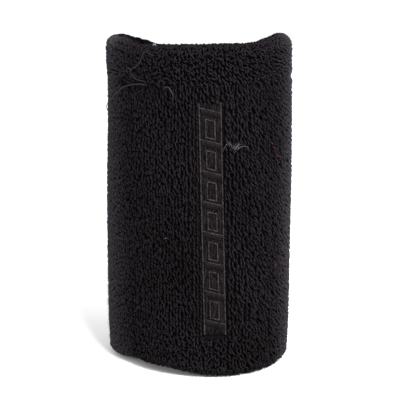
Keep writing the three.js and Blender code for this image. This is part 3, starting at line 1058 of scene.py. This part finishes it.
loose_thread(
    "pulled_thread_long",
    [(-176, 81, -0.2), (-173, 82.7, 0.3), (-164, 85.1, 0.4), (-154, 87.8, 0.4), (-146, 90.7, 0.4),
     (-138, 92.2, 0.4), (-130.5, 92.8, 0.3), (-125.5, 92.6, -0.4)],
    thickness=0.3,
    material=pulled,
    tone=0.09,
)
loose_thread(
    "pulled_thread_forked",
    [(-126, 93.2, -0.3), (-127, 93.7, 0.1), (-132, 94.1, 0.3), (-136, 95.4, 0.4),
     (-137.5, 96.8, 0.5), (-130.5, 98.9, 0.5), (-127.5, 101.6, 0.3), (-125.2, 102.6, 0.2),
     (-119.8, 101.4, -0.3)],
    thickness=0.22,
    material=pulled,
    tone=0.11,
)
loose_thread(
    "pulled_thread_fork",
    [(-137.5, 96.8, 0.4), (-139, 97.5, 0.5), (-141.5, 96.7, 0.4), (-141.8, 95.8, -0.2)],
    thickness=0.2,
    material=pulled,
    tone=0.11,
)
loose_thread(
    "pulled_thread_branch",
    [(-135.8, 95.4, 0.4), (-137.1, 95, 0.4), (-138.2, 94.2, -0.2)],
    thickness=0.2,
    material=pulled,
    tone=0.12,
)
loose_thread(
    "pulled_curl",
    [(-111.6, 91.4, -0.3), (-111, 92, 0.1), (-109.2, 92.2, 0.3), (-107.3, 91.4, 0.3),
     (-105.8, 89.9, 0), (-105.4, 89, -0.5)],
    thickness=0.28,
    material=pulled,
    tone=0.16,
)
# The snag is a small clump of thinner ends that curl over one another and out at both sides.
# The first and the last, which reach furthest out, are darker.
snag_ends = (
    [(-74.2, 72.7, -0.3), (-73.2, 74.1, 0.2), (-72, 75.1, 0.4), (-70.6, 74.9, 0.3),
     (-70, 74, -0.3)],
    [(-71.5, 75.9, -0.2), (-70.5, 75.4, 0.3), (-69.2, 74.6, 0.3), (-68.4, 73.8, -0.2)],
    [(-68.6, 73.6, 0), (-67, 74.3, 0.4), (-65.6, 74.2, 0.5), (-64.8, 73.6, 0.4),
     (-64.4, 73, -0.2)],
    [(-67.4, 73.2, 0), (-66.4, 73.8, 0.5), (-65, 74.8, 0.5), (-64.2, 75.3, 0)],
    [(-64.8, 73.6, 0.2), (-63, 74, 0.4), (-61, 74.2, 0.4), (-59, 73.7, 0.3),
     (-57.7, 72.7, -0.3)],
)
snag_tones = (0.22, 0.34, 0.34, 0.34, 0.22)
for i, (points, tone) in enumerate(zip(snag_ends, snag_tones)):
    loose_thread(f"snag_end_{i + 1}", points, thickness=0.24, material=pulled, tone=tone)

# Fibres have broken out of the clump all round it. The middle and the spread of their starts
# are in degrees round the band and millimetres up it.
SNAG_FIBRES = 40
SNAG_FIBRE_MM = 0.09
SNAG_MIDDLE = np.array([-66.0, 74.1])
SNAG_SPREAD = np.array([1.5, 0.4])
t = np.linspace(0, 1, 5)[None, :]
start = SNAG_MIDDLE + SNAG_SPREAD * chance.normal(size=(SNAG_FIBRES, 2))
way = chance.uniform(0, 2 * np.pi, SNAG_FIBRES)[:, None]
way = way + chance.normal(0, 1, (SNAG_FIBRES, 1)) * t
length = chance.uniform(0.4, 1.2, SNAG_FIBRES)[:, None] * t
fibre_lines = on_band(
    np.radians(start[:, :1]) + length * np.cos(way) / outer_radius,
    outer_radius + 0.5 * np.sin(np.pi * t),
    start[:, 1:] + length * np.sin(way),
)
vertices, faces, uv = yarn_tubes(fibre_lines, np.full(SNAG_FIBRES, SNAG_FIBRE_MM), 3)
tones = np.repeat(chance.uniform(0.15, 0.65, SNAG_FIBRES), 5 * 3)
snag = new_piece("snag_fibres", vertices, faces, pulled, uv, {"tone": tones})

# A pale tuft has caught in the front of the rim, and a speck of pale lint low on the left.
loose_thread(
    "rim_tuft",
    [(-119.8, 104.5, -0.2), (-119, 104.9, 0.2), (-118.2, 104.9, 0.2), (-117.6, 104.6, -0.1)],
    thickness=0.5,
    material=pulled,
    tone=1.0,
)
loose_thread(
    "pale_lint",
    [(-112.3, 44.6, 0), (-111.5, 45.1, 0.2), (-110.9, 44.9, 0)],
    thickness=0.2,
    material=pulled,
    tone=0.6,
)

# A few specks of red lint have caught in the loops on the right.
red_lint, tree, shader = new_material("red_lint_fibre")
shader.inputs["Base Color"].default_value = srgb("#5c2530")
shader.inputs["Roughness"].default_value = 0.9
shader.inputs["Specular IOR Level"].default_value = 0.1
red_specks = (
    [(-41.8, 74.1, 0.1), (-41.2, 73.8, 0.3), (-40.3, 73.5, 0.1)],
    [(-39, 72.4, 0.1), (-38.4, 72, 0.3), (-37.8, 71.6, 0.1)],
    [(-36.2, 69.8, 0), (-35.1, 69.3, 0.1), (-34, 68.8, 0)],
    [(-37, 34.2, 0), (-36.3, 34.9, 0.3), (-35.5, 35.9, 0)],
)
for i, points in enumerate(red_specks):
    loose_thread(f"red_lint_{i + 1}", points, thickness=0.16, material=red_lint, tone=0.5)

# ---------------------------------------------------------------------------------------------
# The stage: a plain pale floor, wide enough that no edge of it shows, under an even white
# surround. Three soft boxes light the band, the strongest from the right in front and above.
FLOOR_HALF_WIDTH = 20.0
white, tree, shader = new_material("pale_floor")
shader.inputs["Base Color"].default_value = srgb("#f8f8f8")
shader.inputs["Roughness"].default_value = 0.9
edge = FLOOR_HALF_WIDTH
floor_mesh = bpy.data.meshes.new("floor")
floor_mesh.from_pydata(
    [(-edge, -edge, 0), (edge, -edge, 0), (edge, edge, 0), (-edge, edge, 0)], [], [(0, 1, 2, 3)]
)
floor_mesh.materials.append(white)
floor = bpy.data.objects.new("floor", floor_mesh)
bpy.context.scene.collection.objects.link(floor)
floor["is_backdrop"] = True

surround = bpy.data.worlds.new("white_surround")
surround.use_nodes = True
surround.node_tree.nodes["Background"].inputs["Color"].default_value = (1, 1, 1, 1)
surround.node_tree.nodes["Background"].inputs["Strength"].default_value = 1.0
bpy.context.scene.world = surround
bpy.context.scene.view_settings.view_transform = "Standard"


def soft_box(name, place, size, watts):
    """A square area light at a place in metres, turned to the middle of the band."""
    lamp = bpy.data.lights.new(name, "AREA")
    lamp.size = size
    lamp.energy = watts
    box = bpy.data.objects.new(name, lamp)
    box.location = place
    box.rotation_euler = (Vector(place) - Vector((0, 0, 0.05))).to_track_quat("Z", "Y").to_euler()
    bpy.context.scene.collection.objects.link(box)


soft_box("key", (0.4, -0.8, 0.85), 0.4, 25)
soft_box("fill", (-0.8, -0.6, 0.5), 0.6, 2.5)
soft_box("side", (0.9, -0.3, 0.4), 0.5, 4)
